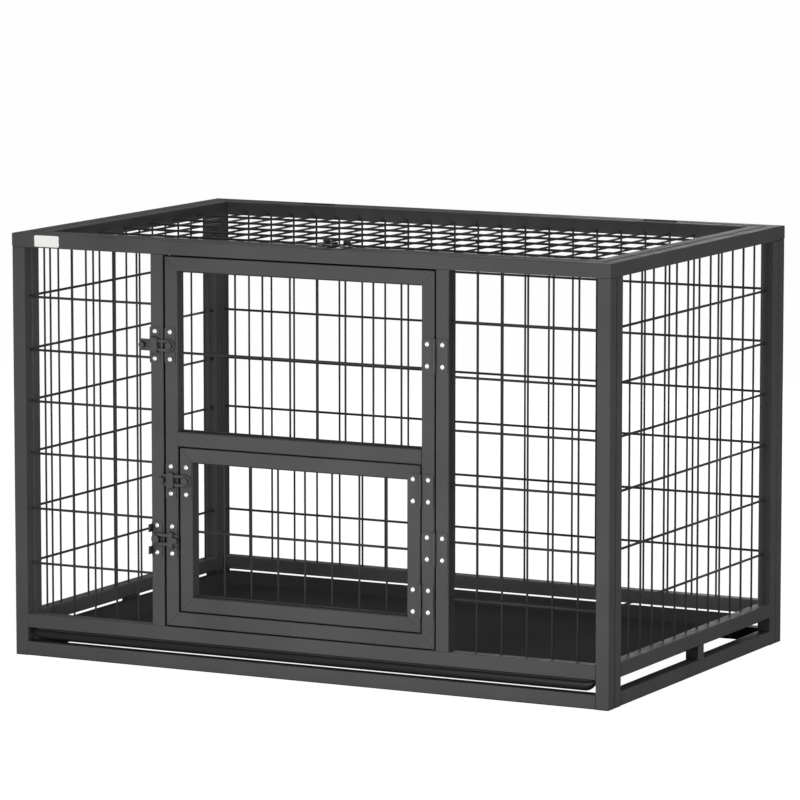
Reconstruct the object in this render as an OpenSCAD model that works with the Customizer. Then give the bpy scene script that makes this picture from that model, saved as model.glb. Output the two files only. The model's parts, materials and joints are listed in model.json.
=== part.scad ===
// Heavy duty dog crate: welded square tube panels with wire mesh, a hinged lid,
// a large front door with a small door in it, sliding latches and a slide-out tray.
// The origin is on the floor under the middle, with the front towards -Y.

/* [Crate] */
// Overall length, left to right
crate_l = 1100; // [1000:10:1300]
// Overall depth, front to back
crate_w = 702; // [600:2:860]
// Overall height
crate_h = 714; // [640:2:860]

/* [Tube] */
// Outside width of the square tube
tube = 23.5; // [22:0.5:27]
// Wall thickness of the tube
tube_wall = 1.2; // [0.8:0.1:1.6]
// Outside corner radius of the tube
tube_r = 2; // [1.8:0.1:3]
// Gap between a corner post and the side post beside it
panel_gap = 1; // [0.4:0.1:3]

/* [Front] */
// Clear width of the mesh bay left of the door
left_bay = 242; // [200:1:270]
// Clear width of the mesh bay right of the door
right_bay = 261; // [220:1:290]
// Height of the slot that the tray slides through
tray_slot = 24; // [22:0.5:34]
// Underside of the large door's mid rail above the floor
mid_rail_z = 374; // [340:1:420]
// Gap beside a door on its latch side
latch_gap = 3.5; // [3:0.1:5]
// Gap beside a door on its hinge side
hinge_gap = 2; // [1.6:0.1:3]
// Gap above and below a door
door_gap = 2.2; // [1:0.1:3]

/* [Wire] */
// Diameter of the upright wires
upright_d = 3.4; // [2.4:0.1:4]
// Diameter of the level wires
row_d = 4.2; // [3:0.1:4.6]
// Depth of the level wires behind the outer face of the tubes
row_depth = 15.6; // [8:0.1:17]

/* [Lid] */
// Gap between the lid and the top frame at the front and sides
lid_gap = 1.5; // [1:0.1:3]
// Gap between the lid and the top frame along the hinges
lid_back_gap = 3.4; // [3.2:0.1:5]
// Length of a lid hinge
lid_hinge_l = 60; // [40:1:90]

/* [Hinges] */
// Height of a door hinge
hinge_h = 54; // [40:1:70]
// Thickness of a hinge leaf
leaf_t = 1.6; // [1.2:0.1:2]
// Diameter of a door hinge's barrel
barrel_d = 5.6; // [5.2:0.1:7]
// Diameter of a door hinge's pin
pin_d = 3; // [2.4:0.1:3.4]

/* [Latches] */
// Length of a latch plate or keeper
plate_len = 61; // [56:1:72]
// Width of a latch plate or keeper
plate_w = 19.5; // [18:0.5:21]
// Thickness of a latch plate or keeper
plate_t = 1.6; // [1.2:0.1:2.4]
// Thickness of the sliding bolt
bolt_t = 2.5; // [2:0.1:3.5]
// Length of the bolt's finger end, from the gap that it bridges
tab_u = 41; // [38:0.5:43]
// Length of the small door bolt's finger end
small_tab_u = 33.5; // [32:0.5:36]
// Length of the lid bolt's finger end
lid_tab_u = 36.5; // [35:0.5:38]
// Diameter of the finger knob on a bolt
knob_d = 10; // [8:0.5:11]
// Height of the finger knob
knob_h = 7; // [5:0.5:10]
// Height of the ears on a keeper
ear_h = 11.5; // [8:0.5:12]
// Diameter of a rivet's shank
rivet_d = 4; // [3:0.1:4.8]
// Diameter of a rivet's head
rivet_head_d = 8; // [6:0.1:8.4]

/* [Tray] */
// Thickness of the tray's sheet
tray_t = 2.5; // [1.5:0.1:3]
// Clearance above the base rails under the tray
tray_lift = 2; // [1:0.1:3]
// Gap between the tray's rim and the panels at its sides
rim_gap = 3; // [2:0.1:6]
// Width of the tray's flat rim at the sides
rim_side = 16.5; // [14:0.5:20]
// How far the pan's side walls slope inwards
side_slope = 29; // [10:1:40]
// How far the pan's front and back walls slope inwards
end_slope = 18; // [8:1:30]

/* [Label] */
// Length of the blank label on the top frame
label_l = 47; // [30:1:60]
// Height of the blank label
label_h = 19; // [12:0.5:20]

/* [Hidden] */
$fn = 32;

// Cutting tools run past a face by this much
over = 1;
// Hair gap between pieces that are welded or riveted together
seam = 0.05;
// Straight steps in a rounded corner
corner_steps = 3;

// Colours of the finishes
frame_color = "#4c4c4e";
wire_color = "#2b2b2c";
tray_color = "#1d1e1f";
rivet_color = "#d9d9d9";
label_color = "#f2f2ee";

// Levels and faces of the frame
x_left = -crate_l / 2;
x_right = crate_l / 2;
y_front = -crate_w / 2;
y_back = crate_w / 2;
ring_z = crate_h - tube;
sill_z = tube + tray_slot;
sill_top = sill_z + tube;
plug_t = 1.5;
plug_h = 12;
plug_clear = 0.2;
side_post_y = tube + panel_gap;
side_open_y = side_post_y + tube;
side_open = crate_w - 2 * side_open_y;
block_share = 0.52;

// Door opening in the front panel
left_jamb_x = x_left + tube + left_bay;
right_jamb_x = x_right - 2 * tube - right_bay;
main_x = left_jamb_x + tube + latch_gap;
main_w = right_jamb_x - hinge_gap - main_x;
main_z = sill_top + door_gap;
main_h = ring_z - door_gap - main_z;
main_gap_x = main_x - latch_gap / 2;
main_axis_x = right_jamb_x - hinge_gap / 2;

// Small door in the lower part of the large door
small_x = main_x + tube + latch_gap;
small_w = main_w - 2 * tube - latch_gap - hinge_gap;
small_z = main_z + tube + door_gap;
small_h = mid_rail_z - door_gap - small_z;
small_gap_x = small_x - latch_gap / 2;
small_axis_x = small_x + small_w + hinge_gap / 2;

// Wire mesh: places of the level wires up an opening, and how wide the end spaces are
mesh_row_shares = [0.137, 0.287, 0.438, 0.58, 0.72, 0.864];
main_row_shares = [0.488];
small_row_shares = [0.483];
left_bay_wires = 5;
right_bay_wires = 5;
main_wires = 8;
small_wires = 7;
side_wires = 13;
back_wires = 22;
lid_wires = 21;
lid_row_shares = [0.112, 0.254, 0.396, 0.538, 0.68, 0.822];
bay_end_shares = [0.93, 0.89];
main_end_shares = [0.93, 0.9];
small_end_shares = [1, 0.94];
side_front_share = 0.51;
side_back_share = 0.8;
back_end_shares = [0.96, 1.13];
lid_end_shares = [0.89, 1.13];
upright_depth = row_depth + (upright_d + row_d) / 2 + seam;
mesh_open = ring_z - sill_top;

// Lid
lid_x = x_left + tube + lid_gap;
lid_y = y_front + tube + lid_gap;
lid_l = crate_l - 2 * (tube + lid_gap);
lid_w = crate_w - 2 * tube - lid_gap - lid_back_gap;
lid_seam_y = y_front + tube + lid_gap / 2;
lid_axis_y = y_back - tube - lid_back_gap / 2;
lid_axis_up = 0.2;
lid_axis_z = crate_h + lid_axis_up;
lid_barrel_r = 2;
lid_pin_r = 1;
lid_leaf_t = 1.2;
lid_leaf_h = 16;
lid_hinge_shares = [0.2, 0.8];
rest_t = 2;
rest_l = 30;
// Spaces between side wires that the rests stand in, counted from the front
rest_bays = [2, 9];

// Door hinges
hinge_fit = 0.05;
hinge_stand = 0.2;
hinge_clear = 0.4;
knuckle_gap = 0.3;
pin_head_h = 1.2;
pin_head_over = 0.9;
web_share = 0.5;
leaf_margin = 1.2;
leaf_corner = 3;
barrel_r = barrel_d / 2;
axis_w = barrel_r + hinge_stand;
leaf_u0 = barrel_r + hinge_clear;
leaf_u1 = tube + hinge_gap / 2 - leaf_margin;
leaf_rivet_u = 13.6;
leaf_rivet_share = 0.33;
leaf_rivet_v = leaf_rivet_share * hinge_h;
main_hinge_shares = [0.268, 0.778];
small_hinge_shares = [0.191, 0.852];

// Latches: u runs across the gap towards the keeper, v along the plate, w outwards
plate_corner = 3;
plate_past = 2.55;
keeper_past = 2.55;
plate_u = tube / 2 + plate_past;
keep_u = tube / 2 + keeper_past;
plate_rivet_in = 8;
rivet_v = plate_len / 2 - plate_rivet_in;
bolt_gap = 0.3;
bolt_w0 = plate_t + bolt_gap;
bolt_w1 = bolt_w0 + bolt_t;
slot_share = 0.51;
slot_w = slot_share * plate_w;
bridge_wall = 2.6;
bridge_w = 12.5;
short_bridge_w = 9.5;
bridge_in = plate_u - bridge_w / 2;
bridge_top = 1.6;
bridge_h = bolt_w1 + bolt_gap + bridge_top;
tunnel_w = plate_w + 2 * bolt_gap;
slot_root = bridge_in - over;
knob_in = 6;
short_knob_in = 5;
// The lower latch has a short finger end, so that the small door can swing past it
tab_clear = 0.75;
short_tab_u = 1.5 * latch_gap + tube - tab_clear;
knob_stub_d = 4;
stud_clear = 0.75;
stud_d = slot_w - 2 * stud_clear;
stud_lip = 0.95;
stud_head_d = slot_w + 2 * stud_lip;
stud_head_h = 3;
ear_t = 1.6;
ear_l = 13;
ear_v = 18.5;
latch_travel = 15;
upper_shift = 2.2;
upper_latch_share = 0.76;
lower_latch_share = 0.234;
small_latch_share = 0.8;
lid_latch_share = 0.535;
rivet_fit = 0.05;
rivet_tail = 1.5;
rivet_rim = 0.6;
rivet_dome = 1.6;

// Tray and the ledges that carry its rim
rim_top_gap = 1.5;
ledge_t = 6.5;
ledge_fit = 0.3;
rim_front = 6;
rim_corner = 20;
pan_corner = 30;
pan_front = 7;
lip_out = 1;
lip_drop = 0.2;
lip_in = 1;
lip_run = 20;
lip_share = 0.79;
lip_d = lip_share * tray_slot;
lip_steps = 8;
tray_z = tube + tray_lift;
rim_z = sill_z - rim_top_gap - tray_t;
rim_x = x_left + tube + rim_gap;
rim_l = crate_l - 2 * (tube + rim_gap);
rim_y = y_front + rim_front;
rim_w = crate_w - tube - rim_gap - rim_front;
ledge_w = rim_gap + rim_side - ledge_fit - rim_gap / 2;
label_share = 0.87;
label_x = x_left + (1 + label_share) * tube;
label_t = 0.8;

// Outlines

function corner(cx, cy, r, start) =
    [for (i = [0 : corner_steps])
        let (a = start + 90 * i / corner_steps)
        [cx + r * cos(a), cy + r * sin(a)]];

function round_rect(w, h, r) = concat(
    corner(w - r, h - r, r, 0),
    corner(r, h - r, r, 90),
    corner(r, r, r, 180),
    corner(w - r, r, r, 270)
);

// Places of n wires across a width, with end spaces that are shares of the pitch
function wire_places(n, width, shares) =
    let (pitch = width / (n - 1 + shares[0] + shares[1]))
    [for (i = [0 : n - 1]) (shares[0] + i) * pitch];

// A band of l by h whose lower corners sweep up in quarter ellipses
function swept_band(l, h, run) = concat(
    [for (i = [0 : lip_steps])
        let (a = 90 * i / lip_steps)
        [run - run * cos(a), h - h * sin(a)]],
    [for (i = [0 : lip_steps])
        let (a = 90 * i / lip_steps)
        [l - run + run * sin(a), h - h * cos(a)]]
);

// Tubes

module tube_section() {
    inner = tube - 2 * tube_wall;
    difference() {
        polygon(round_rect(tube, tube, tube_r));
        translate([tube_wall, tube_wall])
            polygon(round_rect(inner, inner, tube_r - tube_wall));
    }
}

module post(len) {
    linear_extrude(len) tube_section();
}

module rail_x(len) {
    rotate([90, 0, 90]) post(len);
}

module rail_y(len) {
    translate([0, 0, tube]) rotate([-90, 0, 0]) post(len);
}

// A rail along X with both ends cut at 45 degrees, its long side at y = 0
module mitred_rail(len) {
    far = tube + over;
    intersection() {
        rail_x(len);
        translate([0, 0, -over])
            linear_extrude(tube + 2 * over)
                polygon([
                    [seam - over, -over],
                    [len - seam + over, -over],
                    [len - seam - far, far],
                    [seam + far, far]
                ]);
    }
}

// A flat frame of four mitred rails, a along X and b along Y
module mitred_frame(a, b) {
    mitred_rail(a);
    translate([a, 0, 0]) rotate([0, 0, 90]) mitred_rail(b);
    translate([a, b, 0]) rotate([0, 0, 180]) mitred_rail(a);
    translate([0, b, 0]) rotate([0, 0, 270]) mitred_rail(b);
}

// The same frame standing in the front plane
module upright_frame(w, h) {
    translate([0, tube, 0]) rotate([90, 0, 0]) mitred_frame(w, h);
}

// Wire mesh set into an opening of w by h in the XZ plane, with the tubes' outer face at Y 0:
// level wires in front, uprights welded to their backs
module set_mesh(w, h, n, end_shares, row_shares) {
    for (s = row_shares)
        translate([seam, row_depth, s * h]) rotate([0, 90, 0]) cylinder(h = w - 2 * seam, d = row_d);
    for (x = wire_places(n, w, end_shares))
        translate([x, upright_depth, seam]) cylinder(h = h - 2 * seam, d = upright_d);
}

// Level wires that lie along the rails at the top and bottom of a door's opening
module edge_wires(w, h) {
    for (z = [seam + upright_d / 2, h - seam - upright_d / 2])
        translate([seam, row_depth, z]) rotate([0, 90, 0]) cylinder(h = w - 2 * seam, d = upright_d);
}

// Places on the front and the top

module on_front(x, z) {
    translate([x, y_front, z]) rotate([90, 0, 0]) children();
}

module at_upper_latch() {
    on_front(main_gap_x - upper_shift, main_z + upper_latch_share * main_h) children();
}

module at_lower_latch() {
    on_front(main_gap_x, main_z + lower_latch_share * main_h) mirror([1, 0, 0]) children();
}

module at_small_latch() {
    on_front(small_gap_x, small_z + small_latch_share * small_h) children();
}

module at_lid_latch() {
    translate([x_left + lid_latch_share * crate_l, lid_seam_y, crate_h]) rotate([0, 0, 90]) children();
}

module at_main_hinges() {
    for (s = main_hinge_shares)
        on_front(main_axis_x, main_z + s * main_h) children();
}

module at_small_hinges() {
    for (s = small_hinge_shares)
        on_front(small_axis_x, small_z + s * small_h) children();
}

module at_lid_hinges() {
    for (s = lid_hinge_shares)
        translate([x_left + s * crate_l, lid_axis_y, lid_axis_z]) children();
}

// Places of the rivets on each piece of hardware

module at_plate_rivets() {
    for (v = [-rivet_v, rivet_v]) translate([-plate_u, v, 0]) children();
}

module at_keeper_rivets() {
    for (v = [-rivet_v, rivet_v]) translate([keep_u, v, 0]) children();
}

module at_leaf_rivets(side) {
    for (v = [-leaf_rivet_v, leaf_rivet_v]) translate([side * leaf_rivet_u, v, 0]) children();
}

// Rivets and their holes

module rivet(under) {
    head_r = rivet_head_d / 2;
    translate([0, 0, under])
        rotate_extrude()
            polygon(concat(
                [[0, 0], [head_r, 0]],
                [for (i = [0 : corner_steps])
                    let (a = 90 * i / corner_steps)
                    [head_r * cos(a), rivet_rim + (rivet_dome - rivet_rim) * sin(a)]]
            ));
    translate([0, 0, -tube_wall - rivet_tail])
        cylinder(h = tube_wall + rivet_tail + under + rivet_rim / 2, d = rivet_d);
}

module rivet_hole() {
    translate([0, 0, -tube_wall - over])
        cylinder(h = tube_wall + plate_t + leaf_t + 2 * over, d = rivet_d + 2 * rivet_fit);
}

// Door hinge: the pin's axis runs along v, in front of the gap

module knuckle(from, to, fit_r, r) {
    translate([0, from, axis_w]) rotate([-90, 0, 0])
        difference() {
            cylinder(h = to - from, r = r);
            translate([0, 0, -over]) cylinder(h = to - from + 2 * over, r = fit_r);
        }
}

// side is 1 for the leaf on the post and -1 for the leaf on the door
module hinge_leaf(side, spans) {
    leaf_w = leaf_u1 - leaf_u0;
    difference() {
        union() {
            translate([side > 0 ? leaf_u0 : -leaf_u1, -hinge_h / 2, 0])
                linear_extrude(leaf_t) polygon(round_rect(leaf_w, hinge_h, leaf_corner));
            for (s = spans) {
                knuckle(s[0], s[1], pin_d / 2 + hinge_fit, barrel_r);
                translate([side > 0 ? web_share * barrel_r : -leaf_u0 - leaf_corner, s[0], 0])
                    cube([leaf_u0 + leaf_corner - web_share * barrel_r, s[1] - s[0], leaf_t]);
            }
        }
        at_leaf_rivets(side) rivet_hole();
    }
}

knuckle_third = hinge_h / 6;

module post_leaf() {
    hinge_leaf(1, [
        [-hinge_h / 2, -knuckle_third - knuckle_gap / 2],
        [knuckle_third + knuckle_gap / 2, hinge_h / 2]
    ]);
}

module door_leaf() {
    hinge_leaf(-1, [[-knuckle_third + knuckle_gap / 2, knuckle_third - knuckle_gap / 2]]);
}

module hinge_pin() {
    reach = hinge_h / 2 + seam;
    translate([0, -reach, axis_w]) rotate([-90, 0, 0]) cylinder(h = 2 * reach, d = pin_d);
    for (v = [-reach - pin_head_h, reach])
        translate([0, v, axis_w]) rotate([-90, 0, 0])
            cylinder(h = pin_head_h, r = pin_d / 2 + pin_head_over);
}

// Lid hinge: the leaves stand in the gap and the pin lies along X at the local origin

lid_third = lid_hinge_l / 6;

module lid_knuckle(from, to) {
    translate([from, 0, 0]) rotate([0, 90, 0])
        difference() {
            cylinder(h = to - from, r = lid_barrel_r);
            translate([0, 0, -over]) cylinder(h = to - from + 2 * over, r = lid_pin_r + hinge_fit);
        }
}

module lid_leaf(side, spans) {
    face = lid_back_gap / 2 - seam;
    top = lid_pin_r + 4 * hinge_fit;
    drop = lid_axis_up + lid_barrel_r;
    translate([-lid_hinge_l / 2, side > 0 ? face - lid_leaf_t : -face, -lid_leaf_h])
        cube([lid_hinge_l, lid_leaf_t, lid_leaf_h - drop]);
    for (s = spans) {
        lid_knuckle(s[0], s[1]);
        translate([s[0], side > 0 ? face - lid_leaf_t : -face, -lid_leaf_h])
            cube([s[1] - s[0], lid_leaf_t, lid_leaf_h - top]);
    }
}

module lid_pin() {
    reach = lid_hinge_l / 2 + seam;
    translate([-reach, 0, 0]) rotate([0, 90, 0]) cylinder(h = 2 * reach, r = lid_pin_r);
    for (x = [-reach - pin_head_h, reach])
        translate([x, 0, 0]) rotate([0, 90, 0])
            cylinder(h = pin_head_h, r = (lid_pin_r + lid_barrel_r) / 2);
}

// Latch pieces

module latch_sheet(centre_u) {
    translate([centre_u - plate_w / 2, -plate_len / 2, 0])
        linear_extrude(plate_t) polygon(round_rect(plate_w, plate_len, plate_corner));
}

module latch_plate(bridge) {
    bridge_l = tunnel_w + 2 * bridge_wall;
    difference() {
        union() {
            latch_sheet(-plate_u);
            translate([-bridge_in - bridge, -bridge_l / 2, 0]) cube([bridge, bridge_l, bridge_h]);
        }
        translate([-bridge_in - bridge - over, -tunnel_w / 2, plate_t])
            cube([bridge + 2 * over, tunnel_w, bridge_h - bridge_top - plate_t]);
        at_plate_rivets() rivet_hole();
    }
}

module latch_keeper(ears) {
    rim_r = plate_w / 2;
    difference() {
        union() {
            latch_sheet(keep_u);
            translate([keep_u, 0, 0]) cylinder(h = bolt_w1 + bolt_gap + seam, d = stud_d);
            translate([keep_u, 0, bolt_w1 + bolt_gap]) cylinder(h = stud_head_h, d = stud_head_d);
            translate([keep_u, 0, plate_t - seam]) difference() {
                cylinder(h = bolt_w1 - plate_t + seam, r = rim_r - seam);
                translate([0, 0, -over]) cylinder(h = bolt_w1 + 2 * over, d = slot_w);
                translate([bolt_gap - 2 * rim_r, -rim_r - over, -over])
                    cube([2 * rim_r, 2 * (rim_r + over), bolt_w1 + 2 * over]);
            }
            if (ears)
                for (v = [-ear_v, ear_v])
                    translate([keep_u + plate_w / 2 - ear_t, v - ear_l / 2, plate_t / 2])
                        cube([ear_t, ear_l, ear_h + plate_t / 2]);
        }
        at_keeper_rivets() rivet_hole();
    }
}

module latch_bolt(tab, inset) {
    half = plate_w / 2;
    translate([0, 0, bolt_w0]) difference() {
        translate([-tab, -half, 0])
            linear_extrude(bolt_t) polygon(concat(
                [[tab + keep_u, 0], [tab + keep_u, plate_w]],
                corner(plate_corner, plate_w - plate_corner, plate_corner, 90),
                corner(plate_corner, plate_corner, plate_corner, 180)
            ));
        translate([-slot_root, -slot_w / 2, -over])
            cube([slot_root + keep_u + over, slot_w, bolt_t + 2 * over]);
        translate([inset - tab, 0, -over]) cylinder(h = bolt_t + 2 * over, d = knob_stub_d + 2 * rivet_fit);
    }
}

module latch_knob(tab, inset) {
    edge = rivet_rim;
    translate([inset - tab, 0, bolt_w0 + seam]) cylinder(h = bolt_t, d = knob_stub_d);
    translate([inset - tab, 0, bolt_w1])
        rotate_extrude()
            polygon([
                [0, 0], [knob_d / 2 - edge, 0], [knob_d / 2, edge],
                [knob_d / 2, knob_h - edge], [knob_d / 2 - edge, knob_h], [0, knob_h]
            ]);
}

// Frame

module top_frame() {
    color(frame_color) difference() {
        translate([x_left, y_front, ring_z]) mitred_frame(crate_l, crate_w);
        at_lid_latch() at_plate_rivets() rivet_hole();
    }
}

module corner_pair(y) {
    for (x = [x_left, x_right - tube])
        translate([x, y, plug_t]) post(ring_z - plug_t);
}

module front_posts() {
    color(frame_color) corner_pair(y_front);
}

module back_posts() {
    color(frame_color) corner_pair(y_back - tube);
}

module side_posts() {
    color(frame_color)
        for (y = [y_front + side_post_y, y_back - side_open_y]) corner_pair(y);
}

module door_jambs() {
    color(frame_color) difference() {
        for (x = [left_jamb_x, right_jamb_x])
            translate([x, y_front, sill_top]) post(ring_z - sill_top);
        at_upper_latch() at_plate_rivets() rivet_hole();
        at_lower_latch() at_keeper_rivets() rivet_hole();
        at_main_hinges() at_leaf_rivets(1) rivet_hole();
    }
}

module long_rail(y, z) {
    translate([x_left + tube, y, z]) rail_x(crate_l - 2 * tube);
}

module side_rails(z) {
    for (x = [x_left, x_right - tube])
        translate([x, y_front + side_open_y, z]) rail_y(side_open);
}

module front_sill() {
    color(frame_color) long_rail(y_front, sill_z);
}

module back_sill() {
    color(frame_color) long_rail(y_back - tube, sill_z);
}

module side_sills() {
    color(frame_color) side_rails(sill_z);
}

module front_base_rail() {
    color(frame_color) long_rail(y_front, 0);
}

module back_base_rail() {
    color(frame_color) long_rail(y_back - tube, 0);
}

module side_base_rails() {
    color(frame_color) side_rails(0);
}

module side_blocks() {
    color(frame_color)
        for (x = [x_left, x_right - tube])
            translate([x, y_front + block_share * crate_w - tube / 2, tube]) post(tray_slot);
}

// Flat strips inside the side panels that the tray's rim slides on
module tray_ledges() {
    color(frame_color)
        for (x = [x_left + tube + seam, x_right - tube - seam - ledge_w])
            translate([x, y_front + side_post_y, rim_z - ledge_fit - ledge_t])
                cube([ledge_w, crate_w - 2 * side_post_y, ledge_t]);
}

module foot_plug() {
    stem = tube - 2 * (tube_wall + plug_clear);
    linear_extrude(plug_t) polygon(round_rect(tube, tube, tube_r));
    translate([tube_wall + plug_clear, tube_wall + plug_clear, 0])
        linear_extrude(plug_t + plug_h) polygon(round_rect(stem, stem, tube_r - tube_wall));
}

module foot_plugs() {
    color(tray_color)
        for (x = [x_left, x_right - tube])
            for (y = [y_front, y_front + side_post_y, y_back - side_open_y, y_back - tube])
                translate([x, y, 0]) foot_plug();
}

// Tabs under the top frame that the closed lid lies on
module lid_rests() {
    reach = tube + lid_gap;
    places = wire_places(side_wires, side_open, [side_front_share, side_back_share]);
    color(frame_color)
        for (x = [x_left + tube / 2, x_right - tube / 2 - reach])
            for (i = rest_bays) {
                y = y_front + side_open_y + (places[i] + places[i + 1] - rest_l) / 2;
                translate([x, y, ring_z - rest_t - seam]) cube([reach, rest_l, rest_t]);
            }
}

module bay_mesh(x, w, n) {
    color(wire_color)
        translate([x, y_front, sill_top])
            set_mesh(w, mesh_open, n, bay_end_shares, mesh_row_shares);
}

module front_left_mesh() {
    bay_mesh(x_left + tube, left_bay, left_bay_wires);
}

module front_right_mesh() {
    bay_mesh(right_jamb_x + tube, right_bay, right_bay_wires);
}

module side_mesh(end_shares) {
    color(wire_color)
        set_mesh(side_open, mesh_open, side_wires, end_shares, mesh_row_shares);
}

module left_side_mesh() {
    translate([x_left, y_back - side_open_y, sill_top])
        rotate([0, 0, -90]) side_mesh([side_back_share, side_front_share]);
}

module right_side_mesh() {
    translate([x_right, y_front + side_open_y, sill_top])
        rotate([0, 0, 90]) side_mesh([side_front_share, side_back_share]);
}

module back_mesh() {
    color(wire_color)
        translate([x_right - tube, y_back, sill_top])
            rotate([0, 0, 180])
                set_mesh(crate_l - 2 * tube, mesh_open, back_wires, back_end_shares, mesh_row_shares);
}

module blank_label() {
    color(label_color)
        on_front(label_x, ring_z + (tube - label_h) / 2)
            translate([0, 0, seam]) linear_extrude(label_t) polygon(round_rect(label_l, label_h, tube_r));
}

// Hardware on the frame

module main_hinge_jamb_leaves() {
    color(frame_color) at_main_hinges() post_leaf();
}

module main_hinge_pins() {
    color(frame_color) at_main_hinges() hinge_pin();
}

module lid_hinge_frame_leaves() {
    color(frame_color) at_lid_hinges()
        lid_leaf(1, [
            [-lid_hinge_l / 2, -lid_third - knuckle_gap / 2],
            [lid_third + knuckle_gap / 2, lid_hinge_l / 2]
        ]);
}

module lid_hinge_pins() {
    color(frame_color) at_lid_hinges() lid_pin();
}

module upper_latch_plate() {
    color(frame_color) at_upper_latch() latch_plate(bridge_w);
}

module lower_latch_keeper() {
    color(frame_color) at_lower_latch() latch_keeper(true);
}

module lid_latch_plate() {
    color(frame_color) at_lid_latch() latch_plate(bridge_w);
}

module frame_rivets() {
    color(rivet_color) {
        at_upper_latch() at_plate_rivets() rivet(plate_t);
        at_lower_latch() at_keeper_rivets() rivet(plate_t);
        at_lid_latch() at_plate_rivets() rivet(plate_t);
        at_main_hinges() at_leaf_rivets(1) rivet(leaf_t);
    }
}

// Large door

module main_door_frame() {
    color(frame_color) difference() {
        union() {
            translate([main_x, y_front, main_z]) upright_frame(main_w, main_h);
            translate([main_x + tube + seam, y_front, mid_rail_z])
                rail_x(main_w - 2 * (tube + seam));
        }
        at_upper_latch() at_keeper_rivets() rivet_hole();
        at_lower_latch() at_plate_rivets() rivet_hole();
        at_small_latch() at_plate_rivets() rivet_hole();
        at_main_hinges() at_leaf_rivets(-1) rivet_hole();
        at_small_hinges() at_leaf_rivets(1) rivet_hole();
    }
}

module main_door_mesh() {
    open_z = mid_rail_z + tube;
    open_w = main_w - 2 * tube;
    open_h = main_z + main_h - tube - open_z;
    color(wire_color)
        translate([main_x + tube, y_front, open_z]) {
            set_mesh(open_w, open_h, main_wires, main_end_shares, main_row_shares);
            edge_wires(open_w, open_h);
        }
}

module main_hinge_door_leaves() {
    color(frame_color) at_main_hinges() door_leaf();
}

module small_hinge_outer_leaves() {
    color(frame_color) at_small_hinges() post_leaf();
}

module small_hinge_pins() {
    color(frame_color) at_small_hinges() hinge_pin();
}

module upper_latch_keeper() {
    color(frame_color) at_upper_latch() latch_keeper(false);
}

module lower_latch_plate() {
    color(frame_color) at_lower_latch() latch_plate(short_bridge_w);
}

module small_latch_plate() {
    color(frame_color) at_small_latch() latch_plate(bridge_w);
}

module main_door_rivets() {
    color(rivet_color) {
        at_upper_latch() at_keeper_rivets() rivet(plate_t);
        at_lower_latch() at_plate_rivets() rivet(plate_t);
        at_small_latch() at_plate_rivets() rivet(plate_t);
        at_main_hinges() at_leaf_rivets(-1) rivet(leaf_t);
        at_small_hinges() at_leaf_rivets(1) rivet(leaf_t);
    }
}

// Small door

module small_door_frame() {
    color(frame_color) difference() {
        translate([small_x, y_front, small_z]) upright_frame(small_w, small_h);
        at_small_latch() at_keeper_rivets() rivet_hole();
        at_small_hinges() at_leaf_rivets(-1) rivet_hole();
    }
}

module small_door_mesh() {
    open_w = small_w - 2 * tube;
    open_h = small_h - 2 * tube;
    color(wire_color)
        translate([small_x + tube, y_front, small_z + tube]) {
            set_mesh(open_w, open_h, small_wires, small_end_shares, small_row_shares);
            edge_wires(open_w, open_h);
        }
}

module small_hinge_inner_leaves() {
    color(frame_color) at_small_hinges() door_leaf();
}

module small_latch_keeper() {
    color(frame_color) at_small_latch() latch_keeper(false);
}

module small_door_rivets() {
    color(rivet_color) {
        at_small_latch() at_keeper_rivets() rivet(plate_t);
        at_small_hinges() at_leaf_rivets(-1) rivet(leaf_t);
    }
}

// Lid

module lid_frame() {
    color(frame_color) difference() {
        translate([lid_x, lid_y, ring_z]) mitred_frame(lid_l, lid_w);
        at_lid_latch() at_keeper_rivets() rivet_hole();
    }
}

module lid_mesh() {
    open_w = lid_w - 2 * tube;
    color(wire_color)
        translate([lid_x + tube, lid_y + tube, crate_h])
            rotate([-90, 0, 0])
                set_mesh(lid_l - 2 * tube, open_w, lid_wires, lid_end_shares, lid_row_shares);
}

module lid_hinge_lid_leaves() {
    color(frame_color) at_lid_hinges()
        lid_leaf(-1, [[-lid_third + knuckle_gap / 2, lid_third - knuckle_gap / 2]]);
}

module lid_latch_keeper() {
    color(frame_color) at_lid_latch() latch_keeper(true);
}

module lid_rivets() {
    color(rivet_color) at_lid_latch() at_keeper_rivets() rivet(plate_t);
}

// Tray: a shallow pan with sloping walls, a flat rim and a rolled front lip

module pan_slab(in_x, in_y, z, t) {
    w = rim_l - 2 * in_x;
    h = rim_w - in_y - in_y;
    translate([rim_x + in_x, rim_y + in_y, z])
        linear_extrude(t) polygon(round_rect(w, h, pan_corner));
}

module pan(inset, floor_z, top_t) {
    hull() {
        pan_slab(rim_side + inset, pan_front + inset, rim_z, top_t);
        pan_slab(rim_side + side_slope + inset, pan_front + end_slope + inset, floor_z, tray_t / 2);
    }
}

// Rolled front lip, a round bar cut to a band that sweeps up at its ends
module front_lip(l) {
    intersection() {
        translate([0, lip_d / 2, lip_d / 2]) rotate([0, 90, 0]) cylinder(h = l, d = lip_d);
        translate([0, lip_d + over, 0])
            rotate([90, 0, 0]) linear_extrude(lip_d + 2 * over) polygon(swept_band(l, lip_d, lip_run));
    }
}

module tray() {
    color(tray_color) difference() {
        union() {
            translate([rim_x, rim_y, rim_z])
                linear_extrude(tray_t) polygon(round_rect(rim_l, rim_w, rim_corner));
            pan(0, tray_z, tray_t / 2);
            translate([rim_x + lip_in, rim_y - lip_out, rim_z + tray_t - lip_d - lip_drop])
                front_lip(rim_l - 2 * lip_in);
        }
        pan(tray_t, tray_z + tray_t, tray_t + over);
    }
}

// Sliding bolts and their knobs

module upper_bolt() {
    color(frame_color) at_upper_latch() latch_bolt(tab_u, knob_in);
}

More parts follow.
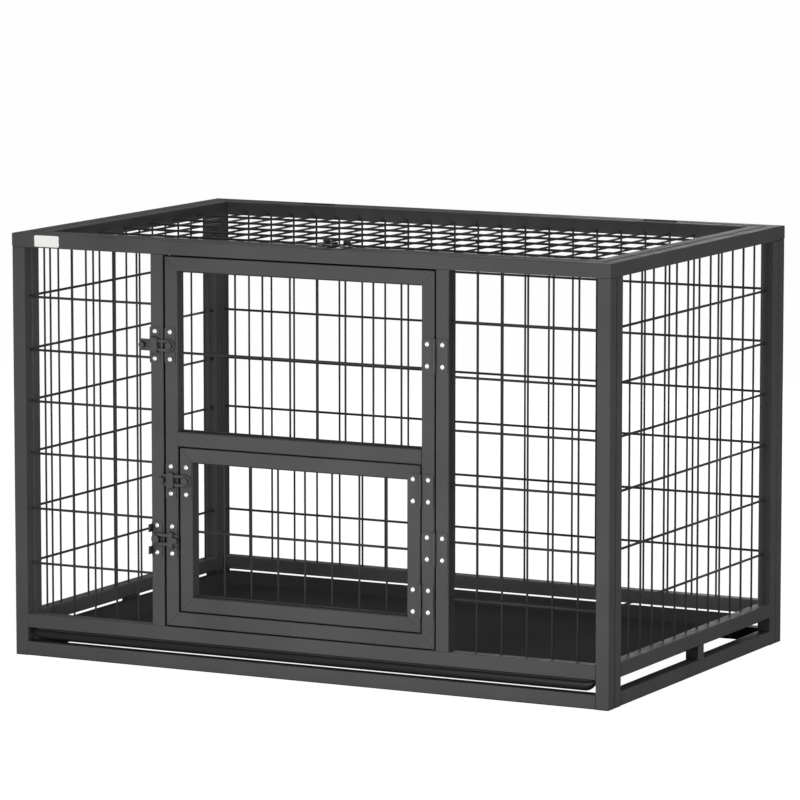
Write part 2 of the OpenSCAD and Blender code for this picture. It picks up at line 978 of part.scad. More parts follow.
module lower_bolt() {
    color(frame_color) at_lower_latch() latch_bolt(short_tab_u, short_knob_in);
}

module small_bolt() {
    color(frame_color) at_small_latch() latch_bolt(small_tab_u, short_knob_in);
}

module lid_bolt() {
    color(frame_color) at_lid_latch() latch_bolt(lid_tab_u, knob_in);
}

module upper_knob() {
    color(frame_color) at_upper_latch() latch_knob(tab_u, knob_in);
}

module lower_knob() {
    color(frame_color) at_lower_latch() latch_knob(short_tab_u, short_knob_in);
}

module small_knob() {
    color(frame_color) at_small_latch() latch_knob(small_tab_u, short_knob_in);
}

module lid_knob() {
    color(frame_color) at_lid_latch() latch_knob(lid_tab_u, knob_in);
}

top_frame();
front_posts();
back_posts();
side_posts();
door_jambs();
front_sill();
back_sill();
side_sills();
front_base_rail();
back_base_rail();
side_base_rails();
side_blocks();
tray_ledges();
foot_plugs();
lid_rests();
front_left_mesh();
front_right_mesh();
left_side_mesh();
right_side_mesh();
back_mesh();
blank_label();
main_hinge_jamb_leaves();
main_hinge_pins();
lid_hinge_frame_leaves();
lid_hinge_pins();
upper_latch_plate();
lower_latch_keeper();
lid_latch_plate();
frame_rivets();
main_door_frame();
main_door_mesh();
main_hinge_door_leaves();
small_hinge_outer_leaves();
small_hinge_pins();
upper_latch_keeper();
lower_latch_plate();
small_latch_plate();
main_door_rivets();
small_door_frame();
small_door_mesh();
small_hinge_inner_leaves();
small_latch_keeper();
small_door_rivets();
lid_frame();
lid_mesh();
lid_hinge_lid_leaves();
lid_latch_keeper();
lid_rivets();
tray();
upper_bolt();
lower_bolt();
small_bolt();
lid_bolt();
upper_knob();
lower_knob();
small_knob();
lid_knob();
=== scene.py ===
import bpy
import bmesh
import json
import math
from mathutils import Matrix, Vector

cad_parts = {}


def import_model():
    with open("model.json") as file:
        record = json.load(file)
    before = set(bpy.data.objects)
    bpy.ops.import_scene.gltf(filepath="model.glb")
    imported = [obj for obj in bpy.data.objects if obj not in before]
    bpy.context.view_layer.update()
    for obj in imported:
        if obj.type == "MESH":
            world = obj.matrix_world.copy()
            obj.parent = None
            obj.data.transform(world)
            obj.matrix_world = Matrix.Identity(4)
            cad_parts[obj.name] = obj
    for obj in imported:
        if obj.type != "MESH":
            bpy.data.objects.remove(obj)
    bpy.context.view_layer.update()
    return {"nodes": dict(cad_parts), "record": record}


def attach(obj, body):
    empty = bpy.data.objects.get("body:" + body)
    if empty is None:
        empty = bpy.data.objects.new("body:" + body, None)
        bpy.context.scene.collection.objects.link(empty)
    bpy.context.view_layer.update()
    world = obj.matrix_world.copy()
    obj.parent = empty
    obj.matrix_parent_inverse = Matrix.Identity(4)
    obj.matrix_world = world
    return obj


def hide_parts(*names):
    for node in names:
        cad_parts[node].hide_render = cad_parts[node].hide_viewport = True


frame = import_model()
nodes = frame["nodes"]

# Sizes, in metres, as in the CAD model: the crate, its tube and its openings
LENGTH, WIDTH, HEIGHT = 1.100, 0.702, 0.714
TUBE = 0.0235
LEFT, RIGHT, FRONT, BACK = -LENGTH / 2, LENGTH / 2, -WIDTH / 2, WIDTH / 2
RING_Z = HEIGHT - TUBE
SLOT = 0.024
SILL_Z = TUBE + SLOT
SILL_TOP = SILL_Z + TUBE
LEFT_BAY, RIGHT_BAY = 0.242, 0.261
LEFT_JAMB = LEFT + TUBE + LEFT_BAY
RIGHT_JAMB = RIGHT - 2 * TUBE - RIGHT_BAY
PANEL_GAP = 0.001
SIDE_POST = TUBE + PANEL_GAP
SIDE_OPEN_Y = SIDE_POST + TUBE
SIDE_OPEN = WIDTH - 2 * SIDE_OPEN_Y

# Doors and lid
LATCH_GAP, HINGE_GAP, DOOR_GAP = 0.0035, 0.002, 0.0022
MID_Z = 0.374
WINDOW_Z = MID_Z + TUBE
MAIN_X = LEFT_JAMB + TUBE + LATCH_GAP
MAIN_W = RIGHT_JAMB - HINGE_GAP - MAIN_X
MAIN_Z = SILL_TOP + DOOR_GAP
MAIN_H = RING_Z - DOOR_GAP - MAIN_Z
SMALL_X = MAIN_X + TUBE + LATCH_GAP
SMALL_W = MAIN_W - 2 * TUBE - LATCH_GAP - HINGE_GAP
SMALL_Z = MAIN_Z + TUBE + DOOR_GAP
SMALL_H = MID_Z - DOOR_GAP - SMALL_Z
MAIN_GAP = MAIN_X - LATCH_GAP / 2
SMALL_GAP = SMALL_X - LATCH_GAP / 2
MAIN_AXIS = RIGHT_JAMB - HINGE_GAP / 2
SMALL_AXIS = SMALL_X + SMALL_W + HINGE_GAP / 2
LID_GAP, LID_BACK = 0.0015, 0.0034
LID_X, LID_Y = LEFT + TUBE + LID_GAP, FRONT + TUBE + LID_GAP
LID_L = LENGTH - 2 * (TUBE + LID_GAP)
LID_W = WIDTH - 2 * TUBE - LID_GAP - LID_BACK

# Wire mesh: counts of uprights, end spaces as shares of the pitch, places of rows as shares of the opening
UPRIGHT_R, ROW_R = 0.0017, 0.0021
WIRE_SEAM = 0.00005
ROW_DEPTH = 0.0156
UPRIGHT_DEPTH = ROW_DEPTH + UPRIGHT_R + ROW_R + WIRE_SEAM
MESH_OPEN = RING_Z - SILL_TOP
BAY_WIRES, SIDE_WIRES, BACK_WIRES = 5, 13, 22
MAIN_WIRES, SMALL_WIRES, LID_WIRES = 8, 7, 21
BAY_ENDS, SIDE_ENDS, BACK_ENDS = (0.93, 0.89), (0.51, 0.8), (0.96, 1.13)
MAIN_ENDS, SMALL_ENDS, LID_ENDS = (0.93, 0.9), (1.0, 0.94), (0.89, 1.13)
PANEL_ROWS = (0.137, 0.287, 0.438, 0.58, 0.72, 0.864)
MAIN_ROWS, SMALL_ROWS = (0.488,), (0.483,)
LID_ROWS = (0.112, 0.254, 0.396, 0.538, 0.68, 0.822)

# Hinges and latches: places of the rivets, and shares of the height or length where the hardware sits
PLATE_T, LEAF_T = 0.0016, 0.0016
RIVET_PAST = 0.00255
PLATE_U = KEEP_U = TUBE / 2 + RIVET_PAST
RIVET_V = 0.0225
LEAF_U, LEAF_V = 0.0136, 0.01782
UPPER_SHIFT = 0.0022
UPPER_SHARE, LOWER_SHARE, SMALL_SHARE, LID_SHARE = 0.76, 0.234, 0.8, 0.535
MAIN_HINGE_SHARES, SMALL_HINGE_SHARES = (0.268, 0.778), (0.191, 0.852)


# Materials: node colours are linear

def new_material(name, rgb, roughness, metallic=0.0, specular=0.5):
    m = bpy.data.materials.new(name)
    m.use_nodes = True
    b = m.node_tree.nodes["Principled BSDF"]
    b.inputs["Base Color"].default_value = (*rgb, 1)
    b.inputs["Roughness"].default_value = roughness
    b.inputs["Metallic"].default_value = metallic
    b.inputs["Specular IOR Level"].default_value = specular
    return m, m.node_tree, b


def add(tree, kind, **values):
    n = tree.nodes.new(kind)
    for k, v in values.items():
        if k in n.inputs:
            n.inputs[k].default_value = v
        else:
            setattr(n, k, v)
    return n


def grain(tree, scale, detail):
    """Noise in the part's own frame."""
    co = add(tree, "ShaderNodeTexCoord")
    n = add(tree, "ShaderNodeTexNoise", Scale=scale, Detail=detail)
    tree.links.new(co.outputs["Object"], n.inputs["Vector"])
    return n.outputs["Fac"]


def ramp(tree, source, low, high, lo_pos=0.3, hi_pos=0.7):
    r = add(tree, "ShaderNodeValToRGB")
    r.color_ramp.elements[0].position = lo_pos
    r.color_ramp.elements[1].position = hi_pos
    r.color_ramp.elements[0].color = low
    r.color_ramp.elements[1].color = high
    tree.links.new(source, r.inputs["Fac"])
    return r.outputs["Color"]


def tint(rgb, k):
    return (rgb[0] * k, rgb[1] * k, rgb[2] * k, 1)


def grey(v):
    return (v, v, v, 1)


def multiply(tree, a, b):
    mix = add(tree, "ShaderNodeMix", data_type="RGBA", blend_type="MULTIPLY")
    mix.inputs["Factor"].default_value = 1.0
    tree.links.new(a, mix.inputs["A"])
    tree.links.new(b, mix.inputs["B"])
    return mix.outputs["Result"]


def relief(tree, shader, height, strength, distance):
    bump = add(tree, "ShaderNodeBump", Strength=strength, Distance=distance)
    tree.links.new(height, bump.inputs["Height"])
    tree.links.new(bump.outputs["Normal"], shader.inputs["Normal"])


def powder_coat(name, rgb, rough, specular, peel, reach, gap_shade_tone, low, high):
    """Satin powder coat: orange peel, fine speckle, slow drift of tone, and painted shade that darkens
    narrow gaps and crevices.
    """
    m, t, b = new_material(name, rgb, rough, specular=specular)
    drift = ramp(t, grain(t, scale=9.0, detail=2.0), tint(rgb, 0.93), tint(rgb, 1.07))
    speck = ramp(t, grain(t, scale=2600.0, detail=2.0), grey(0.9), grey(1.1), lo_pos=0.35, hi_pos=0.75)
    # Ambient occlusion darkens the base colour in gaps, crevices and where parts meet: painted shade.
    corners = add(t, "ShaderNodeAmbientOcclusion", Distance=reach, samples=8)
    painted_gap_shade = ramp(t, corners.outputs["AO"], grey(gap_shade_tone), grey(1.0), lo_pos=low, hi_pos=high)
    t.links.new(multiply(t, multiply(t, drift, speck), painted_gap_shade), b.inputs["Base Color"])
    wear = ramp(t, grain(t, scale=34.0, detail=4.0), grey(rough - 0.05), grey(rough + 0.07))
    t.links.new(wear, b.inputs["Roughness"])
    relief(t, b, grain(t, scale=peel, detail=3.0), strength=0.12, distance=0.0004)
    return m


def moulded_plastic(name, rgb, rough, specular, cell, strength):
    """Moulded plastic with a fine pebbled skin."""
    m, t, b = new_material(name, rgb, rough, specular=specular)
    tone = ramp(t, grain(t, scale=5.0, detail=4.0), tint(rgb, 0.92), tint(rgb, 1.08))
    t.links.new(tone, b.inputs["Base Color"])
    scuff = ramp(t, grain(t, scale=60.0, detail=6.0), grey(rough - 0.02), grey(rough + 0.03))
    t.links.new(scuff, b.inputs["Roughness"])
    co = add(t, "ShaderNodeTexCoord")
    pebbles = add(t, "ShaderNodeTexVoronoi", Scale=cell)
    t.links.new(co.outputs["Object"], pebbles.inputs["Vector"])
    relief(t, b, pebbles.outputs["Distance"], strength=strength, distance=0.0003)
    return m


def bright_metal(name, rgb, rough):
    """Bright zinc with fine turning marks."""
    m, t, b = new_material(name, rgb, rough, metallic=1.0)
    marks = grain(t, scale=1500.0, detail=5.0)
    t.links.new(ramp(t, marks, tint(rgb, 0.86), tint(rgb, 1.04)), b.inputs["Base Color"])
    t.links.new(ramp(t, marks, grey(rough - 0.08), grey(rough + 0.12)), b.inputs["Roughness"])
    relief(t, b, marks, strength=0.08, distance=0.0002)
    return m


# The last four values of each powder coat set the painted shade in gaps: its reach, its darkest tone and its
# ramp.
MATERIALS = {
    "frame_paint": powder_coat("charcoal_powder_coat", (0.091, 0.091, 0.093), 0.58, 0.008,
                               peel=900.0, reach=0.03, gap_shade_tone=0.03, low=0.1, high=0.55),
    "wire_paint": powder_coat("wire_powder_coat", (0.046, 0.046, 0.047), 0.55, 0.03,
                              peel=1500.0, reach=0.006, gap_shade_tone=0.6, low=0.1, high=0.9),
    "hardware_paint": powder_coat("hardware_powder_coat", (0.080, 0.080, 0.082), 0.45, 0.12,
                                  peel=1300.0, reach=0.016, gap_shade_tone=0.03, low=0.4, high=0.92),
    "rivet_steel": bright_metal("bright_zinc", (0.66, 0.66, 0.66), 0.36),
    "tray_plastic": moulded_plastic("black_moulded_tray", (0.042, 0.042, 0.0425), 0.7, 0.0,
                                    cell=700.0, strength=0.03),
    "plug_plastic": moulded_plastic("black_plug_plastic", (0.013, 0.013, 0.013), 0.55, 0.2,
                                    cell=1200.0, strength=0.25),
    "label_white": moulded_plastic("blank_white_label", (0.97, 0.97, 0.94), 0.5, 0.3,
                                   cell=2400.0, strength=0.05),
}
# The lip is a darker copy of the tray's plastic with a smoother skin; the darker tone is painted shade.
SHADED_SMOOTH_TRAY = moulded_plastic("shaded_smooth_tray_lip", (0.010, 0.010, 0.0105), 0.42, 0.15,
                              cell=900.0, strength=0.06)
# A darker copy of the zinc for the rivets that face up: painted shade in place of their reflection.
SHADED_ZINC = bright_metal("shaded_zinc", (0.30, 0.30, 0.30), 0.5)

# Every CAD node takes its slot's finish; hardware, label and plugs, but not hinge leaves, get eased edges

EASED = {"hardware_paint": 0.00035, "label_white": 0.0002, "plug_plastic": 0.0003}
MERGE = 0.000002
EASE_ANGLE = math.radians(40)

slot_of = {s["node"]: s["material_slot"] for s in frame["record"]["subparts"]}
for name, obj in nodes.items():
    obj.data.materials.clear()
    obj.data.materials.append(MATERIALS[slot_of[name]])
    width = EASED.get(slot_of[name])
    if width and not name.endswith("leaves"):
        weld = obj.modifiers.new("weld", "WELD")
        weld.merge_threshold = MERGE
        bevel = obj.modifiers.new("ease", "BEVEL")
        bevel.width = width
        bevel.segments = 2
        bevel.limit_method = "ANGLE"
        bevel.angle_limit = EASE_ANGLE
        bevel.use_clamp_overlap = True
        bevel.harden_normals = True


# Mesh helpers

X, Y, Z = Vector((1, 0, 0)), Vector((0, 1, 0)), Vector((0, 0, 1))


def piece(name, bm, slot, body, *replaced):
    """Makes an object of bm that rides on a body, and stands for the CAD nodes it replaces."""
    bmesh.ops.recalc_face_normals(bm, faces=bm.faces)
    me = bpy.data.meshes.new(name)
    bm.normal_update()
    bm.to_mesh(me)
    bm.free()
    me.materials.append(MATERIALS[slot])
    ob = bpy.data.objects.new(name, me)
    bpy.context.scene.collection.objects.link(ob)
    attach(ob, body)
    if replaced:
        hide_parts(*replaced)
    return ob


def turn(steps):
    """Angles of one turn in equal steps."""
    return [2 * math.pi * i / steps for i in range(steps)]


def lathe(bm, profile, m, steps):
    """Turns (radius, height) points round m's Z axis; first and last may sit on the axis."""
    rings = []
    for r, z in profile:
        if r == 0:
            rings.append([bm.verts.new(m @ Vector((0, 0, z)))])
        else:
            rings.append([
                bm.verts.new(m @ Vector((r * math.cos(a), r * math.sin(a), z)))
                for a in turn(steps)
            ])
    for a, b in zip(rings, rings[1:]):
        for i in range(steps):
            j = (i + 1) % steps
            if len(a) == 1:
                f = (a[0], b[i], b[j])
            elif len(b) == 1:
                f = (a[i], b[0], a[j])
            else:
                f = (a[i], b[i], b[j], a[j])
            bm.faces.new(f).smooth = True


def bridge(bm, a, b):
    """Joins two closed rings of as many points with a band of faces."""
    n = len(a)
    for i in range(n):
        j = (i + 1) % n
        bm.faces.new((a[i], a[j], b[j], b[i])).smooth = True


# Wires and their welds

WIRE_STEPS = 14
WIRE_END_SHARE = 0.25
# A fillet weld's profile: how far past the wire's radius, and how far along the wire
FOOT = ((0.0010, 0.00004), (0.0006, 0.0004), (0.0003, 0.0009), (-0.0001, 0.0018))
BEAD_HALF = (0.0019, 0.0021, 0.0008)
BEAD_OUT = 0.0001


def along(origin, direction):
    """A frame at origin whose Z axis runs along direction."""
    q = Z.rotation_difference(direction.normalized())
    return Matrix.Translation(origin) @ q.to_matrix().to_4x4()


def wire(bm, origin, direction, length, r):
    """A round wire with softened ends."""
    c = WIRE_END_SHARE * r
    lathe(bm, [(0, 0), (r - c, 0), (r, c), (r, length - c), (r - c, length), (0, length)],
          along(origin, direction), WIRE_STEPS)


def foot(bm, place, direction, r):
    """The small fillet weld where a wire butts on a tube; direction leads away from the tube."""
    lathe(bm, [(r + past, up) for past, up in FOOT], along(place, direction), WIRE_STEPS)


def welded_wire(bm, origin, direction, length, r):
    """A wire with a fillet weld at both ends."""
    wire(bm, origin, direction, length, r)
    foot(bm, origin, direction, r)
    foot(bm, origin + direction * length, -direction, r)


def bead(bm, centre, axes):
    """The weld nugget at a crossing: a small blob with its half sizes along the axes."""
    m = Matrix([axis * half for axis, half in zip(axes, BEAD_HALF)]).transposed().to_4x4()
    m.translation = centre
    verts = bmesh.ops.create_icosphere(bm, subdivisions=1, radius=1.0, matrix=m)["verts"]
    for f in {f for v in verts for f in v.link_faces}:
        f.smooth = True


def places(count, width, low, high):
    """Places of the wires across a width, with end spaces that are shares of the pitch."""
    pitch = width / (count - 1 + low + high)
    return [(low + i) * pitch for i in range(count)]


def wire_mesh(name, body, origin, axes, width, height, count, ends, rows, edged=False):
    """Welded wire set into an opening, with level wires along the first axis and uprights along the second
    welded to their backs. The origin is the opening's corner on the tubes' outer face, and the third axis
    leads inwards. An edged mesh has a level wire along the rails above and below it too."""
    ex, ez, ey = axes
    bm = bmesh.new()
    columns = places(count, width, *ends)
    for x in columns:
        welded_wire(bm, origin + ex * x + ey * UPRIGHT_DEPTH, ez, height, UPRIGHT_R)
    for share in rows:
        left_end = origin + ez * (share * height) + ey * ROW_DEPTH
        welded_wire(bm, left_end, ex, width, ROW_R)
        for x in columns:
            bead(bm, left_end + ex * x + ey * (ROW_R + BEAD_OUT), axes)
    if edged:
        for z in (UPRIGHT_R, height - UPRIGHT_R):
            wire(bm, origin + ez * z + ey * ROW_DEPTH, ex, width, UPRIGHT_R)
    return piece(name + "_wires", bm, "wire_paint", body, name + "_mesh")


FRONT_AXES = (X, Z, Y)
wire_mesh("front_left", "frame", Vector((LEFT + TUBE, FRONT, SILL_TOP)), FRONT_AXES,
          LEFT_BAY, MESH_OPEN, BAY_WIRES, BAY_ENDS, PANEL_ROWS)
wire_mesh("front_right", "frame", Vector((RIGHT_JAMB + TUBE, FRONT, SILL_TOP)), FRONT_AXES,
          RIGHT_BAY, MESH_OPEN, BAY_WIRES, BAY_ENDS, PANEL_ROWS)
wire_mesh("left_side", "frame", Vector((LEFT, BACK - SIDE_OPEN_Y, SILL_TOP)), (-Y, Z, X),
          SIDE_OPEN, MESH_OPEN, SIDE_WIRES, SIDE_ENDS[::-1], PANEL_ROWS)
wire_mesh("right_side", "frame", Vector((RIGHT, FRONT + SIDE_OPEN_Y, SILL_TOP)), (Y, Z, -X),
          SIDE_OPEN, MESH_OPEN, SIDE_WIRES, SIDE_ENDS, PANEL_ROWS)
wire_mesh("back", "frame", Vector((RIGHT - TUBE, BACK, SILL_TOP)), (-X, Z, -Y),
          LENGTH - 2 * TUBE, MESH_OPEN, BACK_WIRES, BACK_ENDS, PANEL_ROWS)
wire_mesh("main_door", "main_door", Vector((MAIN_X + TUBE, FRONT, WINDOW_Z)), FRONT_AXES,
          MAIN_W - 2 * TUBE, MAIN_Z + MAIN_H - TUBE - WINDOW_Z, MAIN_WIRES, MAIN_ENDS, MAIN_ROWS, edged=True)
wire_mesh("small_door", "small_door", Vector((SMALL_X + TUBE, FRONT, SMALL_Z + TUBE)), FRONT_AXES,
          SMALL_W - 2 * TUBE, SMALL_H - 2 * TUBE, SMALL_WIRES, SMALL_ENDS, SMALL_ROWS, edged=True)
wire_mesh("lid", "lid", Vector((LID_X + TUBE, LID_Y + TUBE, HEIGHT)), (X, Y, -Z),
          LID_L - 2 * TUBE, LID_W - 2 * TUBE, LID_WIRES, LID_ENDS, LID_ROWS)


# Rivets: a flanged dome with the stub of its stem in the middle

RIVET_STEPS = 24
# Radius and height, from the middle of the underside round the rim to the middle of the stem
RIVET = (
    (0.0, 0.00002), (0.0041, 0.00002), (0.0041, 0.00022), (0.0039, 0.00050),
    (0.0035, 0.00088), (0.0029, 0.00132), (0.0020, 0.00160), (0.0011, 0.00165),
    (0.00105, 0.00140), (0.0009, 0.00125), (0.0, 0.00125),
)


def front(x, z, mirror=1):
    """Latch or hinge frame on the crate's front: u across, v up, w outwards."""
    return Matrix(((mirror, 0, 0, x), (0, 0, -1, FRONT), (0, 1, 0, z), (0, 0, 0, 1)))


def rivets(name, body, spots, *replaced):
    bm = bmesh.new()
    for m, u, v, t in spots:
        lathe(bm, RIVET, m @ Matrix.Translation((u, v, t)), RIVET_STEPS)
    return piece(name + "_heads", bm, "rivet_steel", body, *replaced)


def pair(m, u, v, t):
    """Two rivets, as far below the middle as above it, on metal of thickness t."""
    return [(m, u, -v, t), (m, u, v, t)]


def leaf(hinges, side):
    """Rivets of the leaves on one side of the hinges' pins."""
    return [s for m in hinges for s in pair(m, side * LEAF_U, LEAF_V, LEAF_T)]


def plate(m):
    """Rivets of a latch's plate."""
    return pair(m, -PLATE_U, RIVET_V, PLATE_T)


def keeper(m):
    """Rivets of a latch's keeper."""
    return pair(m, KEEP_U, RIVET_V, PLATE_T)


UPPER = front(MAIN_GAP - UPPER_SHIFT, MAIN_Z + UPPER_SHARE * MAIN_H)
LOWER = front(MAIN_GAP, MAIN_Z + LOWER_SHARE * MAIN_H, mirror=-1)
SMALL = front(SMALL_GAP, SMALL_Z + SMALL_SHARE * SMALL_H)
ON_LID = Matrix(((0, -1, 0, LEFT + LID_SHARE * LENGTH), (1, 0, 0, FRONT + TUBE + LID_GAP / 2),
                 (0, 0, 1, HEIGHT), (0, 0, 0, 1)))
MAIN_HINGES = [front(MAIN_AXIS, MAIN_Z + s * MAIN_H) for s in MAIN_HINGE_SHARES]
SMALL_HINGES = [front(SMALL_AXIS, SMALL_Z + s * SMALL_H) for s in SMALL_HINGE_SHARES]

rivets("frame_rivets", "frame", plate(UPPER) + keeper(LOWER) + leaf(MAIN_HINGES, 1), "frame_rivets")
rivets("main_door_rivets", "main_door",
       keeper(UPPER) + plate(LOWER) + plate(SMALL) + leaf(MAIN_HINGES, -1) + leaf(SMALL_HINGES, 1),
       "main_door_rivets")
rivets("small_door_rivets", "small_door", keeper(SMALL) + leaf(SMALL_HINGES, -1), "small_door_rivets")
# The rivets on the lid take the darker copy of the zinc: painted shade.
for shaded_rivets in (rivets("lid_plate_rivets", "frame", plate(ON_LID)),
             rivets("lid_rivets", "lid", keeper(ON_LID), "lid_rivets")):
    shaded_rivets.data.materials[0] = SHADED_ZINC


# Mitre seams: a fine line of weld ground flush across each corner of the tube frames

SEAM_W, SEAM_T, SEAM_IN = 0.0008, 0.00008, 0.0022


def mitres(name, body, origin, ex, ey, width, height):
    """Seams on the four corners of a frame, on the face where origin lies."""
    bm = bmesh.new()
    out = ex.cross(ey)
    for sx, sy in ((0, 0), (1, 0), (0, 1), (1, 1)):
        corner = origin + ex * (width * sx) + ey * (height * sy)
        inward = (ex * (1 - 2 * sx) + ey * (1 - 2 * sy)).normalized()
        across = inward.cross(out) * (SEAM_W / 2)
        ends = [corner + inward * (k * math.sqrt(2)) for k in (SEAM_IN, TUBE - SEAM_IN)]
        low = [bm.verts.new(e + d) for e in ends for d in (-across, across)]
        high = [bm.verts.new(v.co + out * SEAM_T) for v in low]
        order = (0, 1, 3, 2)
        bm.faces.new([high[i] for i in order])
        bm.faces.new([low[i] for i in order[::-1]])
        for i, j in zip(order, order[1:] + order[:1]):
            bm.faces.new((low[i], low[j], high[j], high[i]))
    return piece(name + "_mitre_seams", bm, "wire_paint", body)


mitres("main_door", "main_door", Vector((MAIN_X, FRONT, MAIN_Z)), X, Z, MAIN_W, MAIN_H)
mitres("small_door", "small_door", Vector((SMALL_X, FRONT, SMALL_Z)), X, Z, SMALL_W, SMALL_H)
mitres("top_frame", "frame", Vector((LEFT, FRONT, HEIGHT)), X, Y, LENGTH, WIDTH)
mitres("lid", "lid", Vector((LID_X, LID_Y, HEIGHT)), X, Y, LID_L, LID_W)


# Tray: one moulded skin, rim to floor and back underneath

TRAY_T = 0.0025
RIM_GAP, RIM_FRONT, RIM_TOP_GAP = 0.003, 0.006, 0.0015
TRAY_LIFT = 0.002
RIM_X, RIM_L = LEFT + TUBE + RIM_GAP, LENGTH - 2 * (TUBE + RIM_GAP)
RIM_Y, RIM_W = FRONT + RIM_FRONT, WIDTH - TUBE - RIM_GAP - RIM_FRONT
RIM_Z = SILL_Z - RIM_TOP_GAP - TRAY_T
RIM_TOP = RIM_Z + TRAY_T
FLOOR_Z = TUBE + TRAY_LIFT
FLOOR_TOP = FLOOR_Z + TRAY_T
CORNER_STEPS = 8
# Rings of the skin: inset along X, inset along Y, height and corner radius
INSIDE = (
    (0.0, 0.0, RIM_Z + 0.0004, 0.020), (0.0, 0.0, RIM_TOP - 0.0009, 0.020),
    (0.0003, 0.0003, RIM_TOP - 0.0003, 0.020), (0.0010, 0.0010, RIM_TOP, 0.020),
    (0.0165, 0.0070, RIM_TOP, 0.027), (0.0184, 0.0089, RIM_TOP - 0.0004, 0.0285),
    (0.0200, 0.0100, RIM_TOP - 0.0014, 0.0285), (0.0215, 0.0109, RIM_TOP - 0.0028, 0.0285),
    (0.0445, 0.0251, FLOOR_TOP + 0.0024, 0.0285), (0.0470, 0.0268, FLOOR_TOP + 0.0010, 0.0285),
    (0.0500, 0.0295, FLOOR_TOP + 0.0002, 0.029), (0.0540, 0.0330, FLOOR_TOP, 0.030),
)
UNDERSIDE = (
    (0.0455, 0.0250, FLOOR_Z, 0.030), (0.0432, 0.0236, FLOOR_Z + 0.0010, 0.030),
    (0.0175, 0.0078, RIM_Z - 0.0006, 0.030), (0.0150, 0.0066, RIM_Z, 0.029),
    (0.0004, 0.0004, RIM_Z, 0.020),
)


def rounded_ring(bm, inset_x, inset_y, z, r):
    """A level ring with round corners, set in from the rim's outline."""
    x0, x1 = RIM_X + inset_x, RIM_X + RIM_L - inset_x
    y0, y1 = RIM_Y + inset_y, RIM_Y + RIM_W - inset_y
    out = []
    centres = ((x1 - r, y1 - r), (x0 + r, y1 - r), (x0 + r, y0 + r), (x1 - r, y0 + r))
    for quarter, (cx, cy) in enumerate(centres):
        for i in range(CORNER_STEPS + 1):
            a = math.radians(90 * (quarter + i / CORNER_STEPS))
            out.append(bm.verts.new((cx + r * math.cos(a), cy + r * math.sin(a), z)))
    return out


def tray_shell():
    bm = bmesh.new()
    above = [rounded_ring(bm, *p) for p in INSIDE]
    below = [rounded_ring(bm, *p) for p in UNDERSIDE]
    for rings in (above, below):
        for a, b in zip(rings, rings[1:]):
            bridge(bm, a, b)
    bridge(bm, below[-1], above[0])
    bm.faces.new(above[-1])
    bm.faces.new(below[0][::-1])
    return piece("tray_shell", bm, "tray_plastic", "tray", "tray")


# The tray's rolled front lip: a round bar whose underside sweeps up to the rim at both ends

LIP_SHARE = 0.79
LIP_D = LIP_SHARE * SLOT
LIP_RUN = 0.020
LIP_SINK, LIP_IN, LIP_OUT = 0.0002, 0.001, 0.001
LIP_TOP = RIM_TOP - LIP_SINK
LIP_X0, LIP_X1 = RIM_X + LIP_IN, RIM_X + RIM_L - LIP_IN
LIP_Y = RIM_Y - LIP_OUT + LIP_D / 2
LIP_STEPS = 32
SWEEP_DEG = range(6, 91, 6)
TIP_SHARE = 0.6
LEAN_SHARE = 0.5


def tray_lip():
    bm = bmesh.new()
    sweep = [math.radians(a) for a in SWEEP_DEG]
    stations = [(LIP_X0 + LIP_RUN * (1 - math.cos(a)), math.sin(a)) for a in sweep]
    stations += [(LIP_X0 + LIP_X1 - x, k) for x, k in stations[::-1]]
    rings = []
    for x, k in stations:
        r = LIP_D * k / 2
        depth = LIP_D / 2 * (TIP_SHARE + (1 - TIP_SHARE) * k)
        y = LIP_Y + (LIP_D / 2 - depth) * LEAN_SHARE
        rings.append([
            bm.verts.new((x, y + depth * math.cos(a), LIP_TOP - r + r * math.sin(a)))
            for a in turn(LIP_STEPS)
        ])
    for a, b in zip(rings, rings[1:]):
        bridge(bm, a, b)
    bm.faces.new(rings[0])
    bm.faces.new(rings[-1][::-1])
    ob = piece("tray_lip", bm, "tray_plastic", "tray")
    # The lip takes the darker copy of the tray's plastic: painted shade.
    ob.data.materials[0] = SHADED_SMOOTH_TRAY
    return ob


tray_shell()
tray_lip()


# Stage, light and camera

STAGE_HALF = 30.0
STAGE_DROP = 0.0004
STAGE_TONE, SEEN_TONE, SEEN_GLOW = 0.3, 0.1, 0.975
WHITE = grey(1)
SOFT_LEVEL, WHITE_LEVEL = 0.10, 1.0
# Name, place, aim, size and power
LIGHTS = (
    ("key", (0.2, -2.05, 0.42), (0, -0.35, 0.36), 0.8, 27),
    ("right", (2.2, -0.1, 0.45), (0.55, -0.1, 0.4), 0.8, 12),
    ("top", (0, -0.2, 4.2), (0, 0, 0.7), 2.0, 44),
    ("back", (-0.8, 3.4, 0.9), (0, 0.35, 0.36), 1.0, 42),
    ("left", (-3.4, 0.1, 0.7), (-0.55, 0, 0.36), 1.0, 36),
)
CAMERA_PLACE = (3.8602, -7.5323, 1.5488)
AZIMUTH, ELEVATION = math.radians(27.147), math.radians(7.570)
SENSOR_MM, LENS_MM = 36.0, 227.591
FAR_CLIP = 100.0


def rays(t):
    """1 for camera, glossy and transmission rays."""
    path = add(t, "ShaderNodeLightPath")
    a = add(t, "ShaderNodeMath", operation="MAXIMUM")
    b = add(t, "ShaderNodeMath", operation="MAXIMUM")
    t.links.new(path.outputs["Is Camera Ray"], a.inputs[0])
    t.links.new(path.outputs["Is Glossy Ray"], a.inputs[1])
    t.links.new(a.outputs[0], b.inputs[0])
    t.links.new(path.outputs["Is Transmission Ray"], b.inputs[1])
    return b.outputs[0]


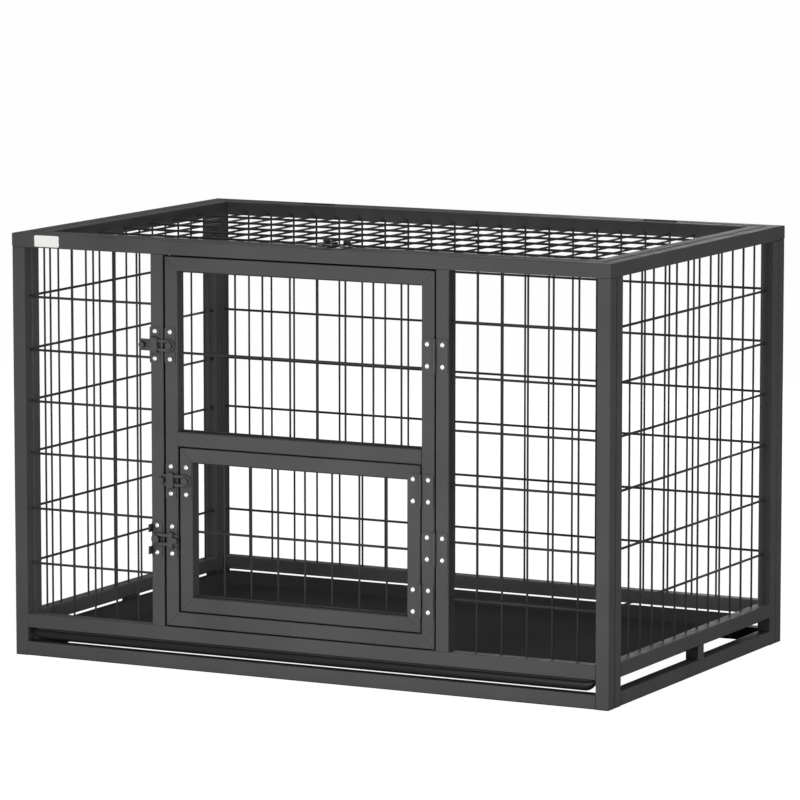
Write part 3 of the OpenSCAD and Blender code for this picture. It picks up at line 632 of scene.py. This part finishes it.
def choose(t, other, seen, out):
    """Shows seen to camera, glossy and transmission rays, and other to the rest."""
    pick = add(t, "ShaderNodeMixShader")
    t.links.new(rays(t), pick.inputs[0])
    t.links.new(other.outputs[0], pick.inputs[1])
    t.links.new(seen.outputs[0], pick.inputs[2])
    t.links.new(pick.outputs[0], out.inputs[0])


def stage_floor():
    """A floor that looks white, keeps a faint shadow and throws little light back."""
    bm = bmesh.new()
    bmesh.ops.create_grid(bm, x_segments=1, y_segments=1, size=STAGE_HALF)
    me = bpy.data.meshes.new("floor")
    bm.to_mesh(me)
    bm.free()
    ob = bpy.data.objects.new("floor", me)
    ob.location.z = -STAGE_DROP
    bpy.context.scene.collection.objects.link(ob)
    m = bpy.data.materials.new("pale_floor")
    m.use_nodes = True
    t = m.node_tree
    t.nodes.clear()
    out = add(t, "ShaderNodeOutputMaterial")
    diffuse = add(t, "ShaderNodeBsdfDiffuse", Color=grey(STAGE_TONE))
    seen = add(t, "ShaderNodeBsdfDiffuse", Color=grey(SEEN_TONE))
    glow = add(t, "ShaderNodeEmission", Color=WHITE, Strength=SEEN_GLOW)
    both = add(t, "ShaderNodeAddShader")
    t.links.new(seen.outputs[0], both.inputs[0])
    t.links.new(glow.outputs[0], both.inputs[1])
    choose(t, diffuse, both, out)
    me.materials.append(m)


def world():
    w = bpy.data.worlds.new("studio")
    bpy.context.scene.world = w
    w.use_nodes = True
    t = w.node_tree
    t.nodes.clear()
    out = add(t, "ShaderNodeOutputWorld")
    soft = add(t, "ShaderNodeBackground", Color=WHITE, Strength=SOFT_LEVEL)
    white = add(t, "ShaderNodeBackground", Color=WHITE, Strength=WHITE_LEVEL)
    choose(t, soft, white, out)


def area_light(name, place, target, size, power):
    d = bpy.data.lights.new(name, "AREA")
    d.size = size
    d.energy = power
    ob = bpy.data.objects.new(name, d)
    ob.location = place
    ob.rotation_euler = (Vector(target) - Vector(place)).to_track_quat("-Z", "Y").to_euler()
    ob.visible_camera = False
    bpy.context.scene.collection.objects.link(ob)


def camera():
    """The photograph's view: a long lens in front and to the right, looking a little down."""
    c = bpy.data.cameras.new("photo_camera")
    c.sensor_width = SENSOR_MM
    c.lens = LENS_MM
    c.clip_end = FAR_CLIP
    ob = bpy.data.objects.new("photo_camera", c)
    ob.rotation_euler = (math.pi / 2 - ELEVATION, 0.0, AZIMUTH)
    ob.location = CAMERA_PLACE
    bpy.context.scene.collection.objects.link(ob)
    bpy.context.scene.camera = ob


stage_floor()
world()
for light in LIGHTS:
    area_light(*light)
camera()
bpy.context.scene.view_settings.view_transform = "Standard"
